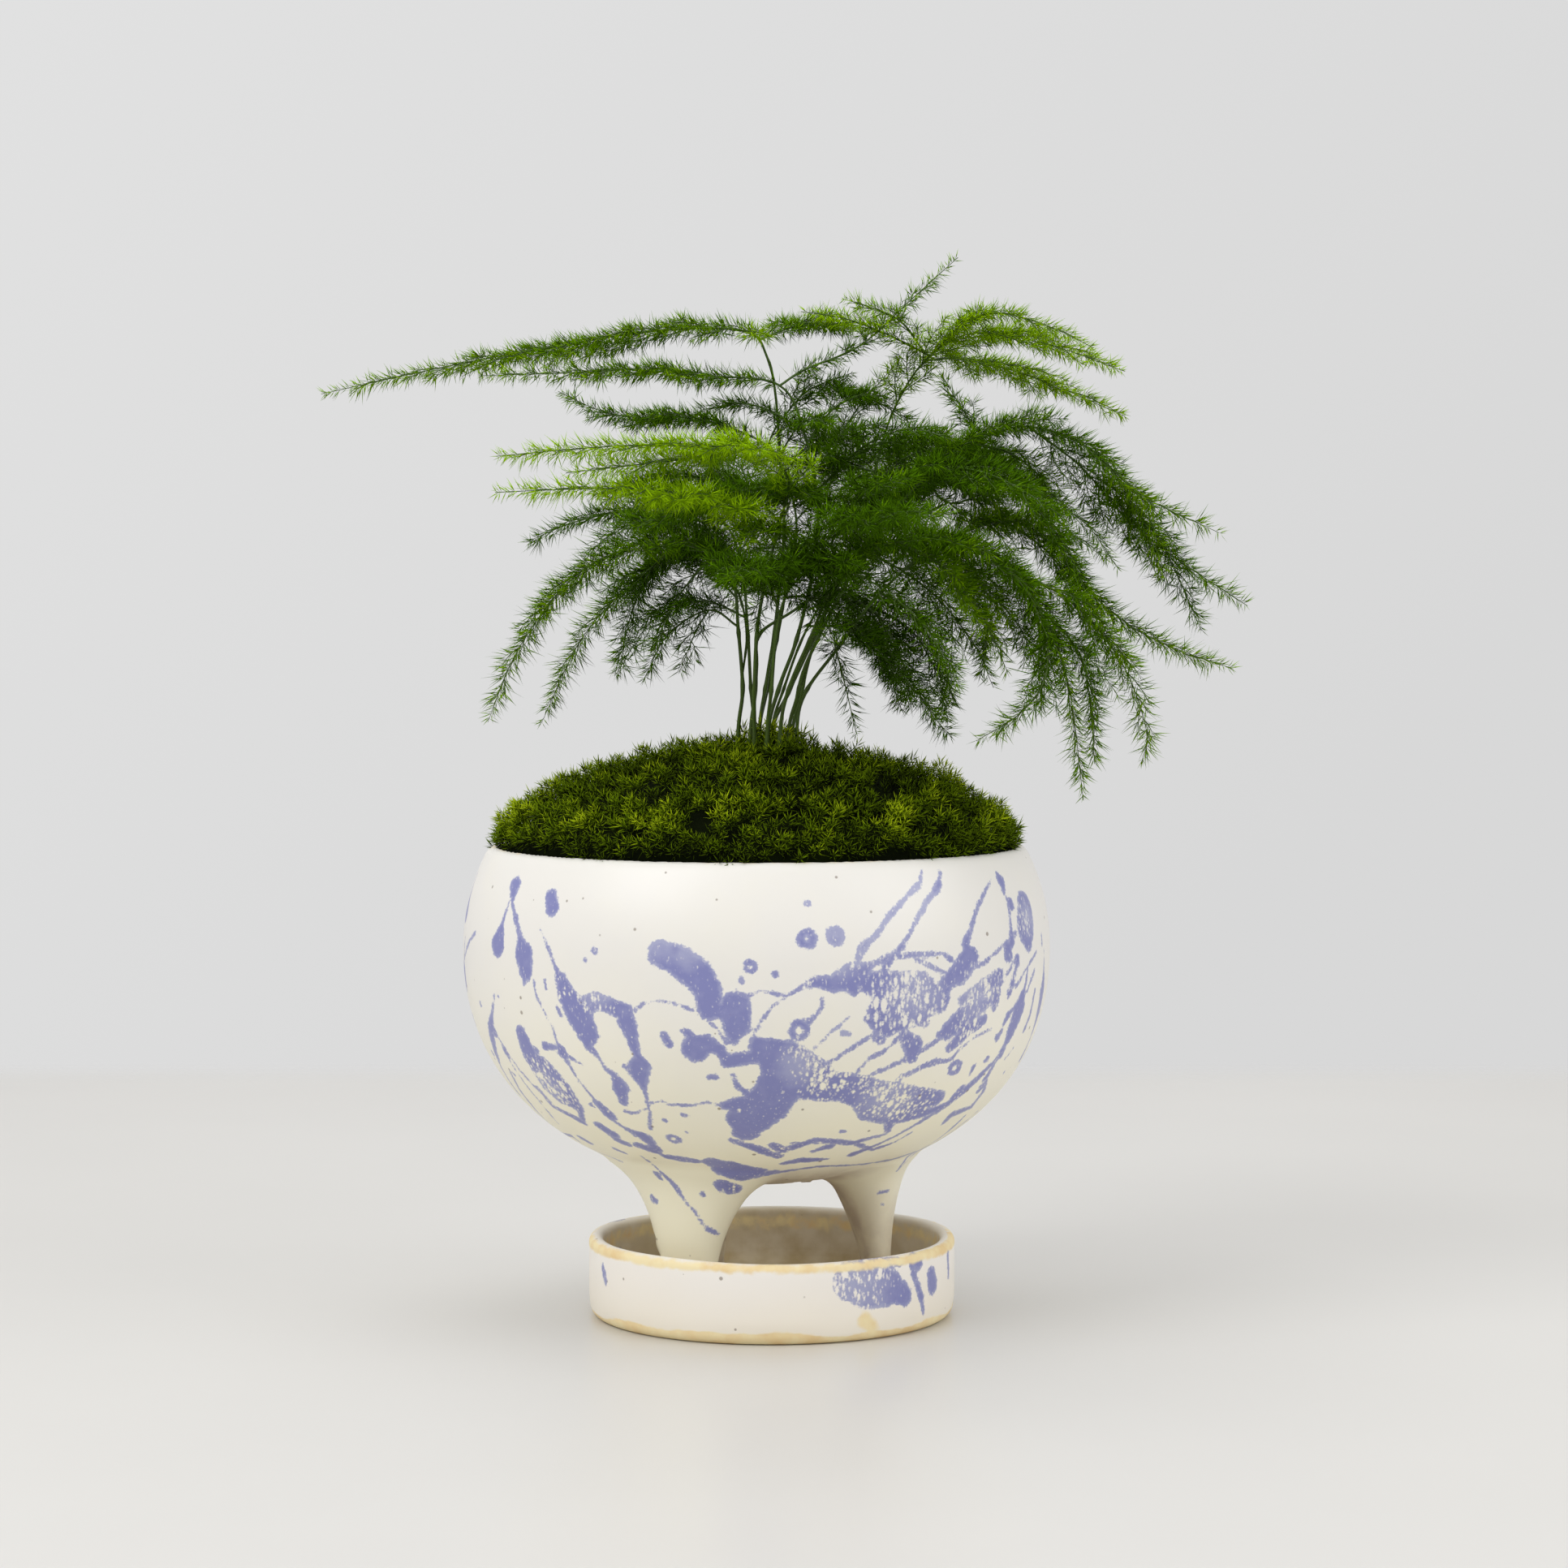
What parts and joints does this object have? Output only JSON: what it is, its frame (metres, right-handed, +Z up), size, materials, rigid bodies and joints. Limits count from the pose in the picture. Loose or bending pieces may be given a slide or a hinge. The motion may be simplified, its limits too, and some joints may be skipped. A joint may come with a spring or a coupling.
{
  "type": "potted asparagus fern",
  "caption": "Asparagus fern with feathery sprays on thin stems, growing from a moss mound in a footed, splash-glazed stoneware bowl on a round saucer.",
  "frame": {"origin": "middle of the saucer's flat underside, on the surface that it stands on", "axes": "+Z up, +X to the right and -Y towards a viewer who faces the front of the pot, where one leg stands to the right and two to the left"},
  "size_m": [0.218, 0.1842, 0.2557],
  "materials": {
    "pot_glaze": "satin",
    "saucer_glaze": "satin",
    "soil": "matte",
    "moss": "matte",
    "fern": "matte"
  },
  "bodies": {
    "root": {"fern_stem_01": "fern", "fern_stem_02": "fern", "fern_stem_03": "fern", "fern_stem_04": "fern", "fern_stem_05": "fern", "fern_stem_06": "fern", "fern_stem_07": "fern", "fern_stem_08": "fern", "fern_stem_09": "fern", "fern_stem_10": "fern", "fern_stem_11": "fern", "fern_stem_12": "fern", "fern_stem_13": "fern", "fern_stem_14": "fern", "moss": "moss", "pot": "pot_glaze", "saucer": "saucer_glaze", "soil": "soil"}
  },
  "joints": []
}
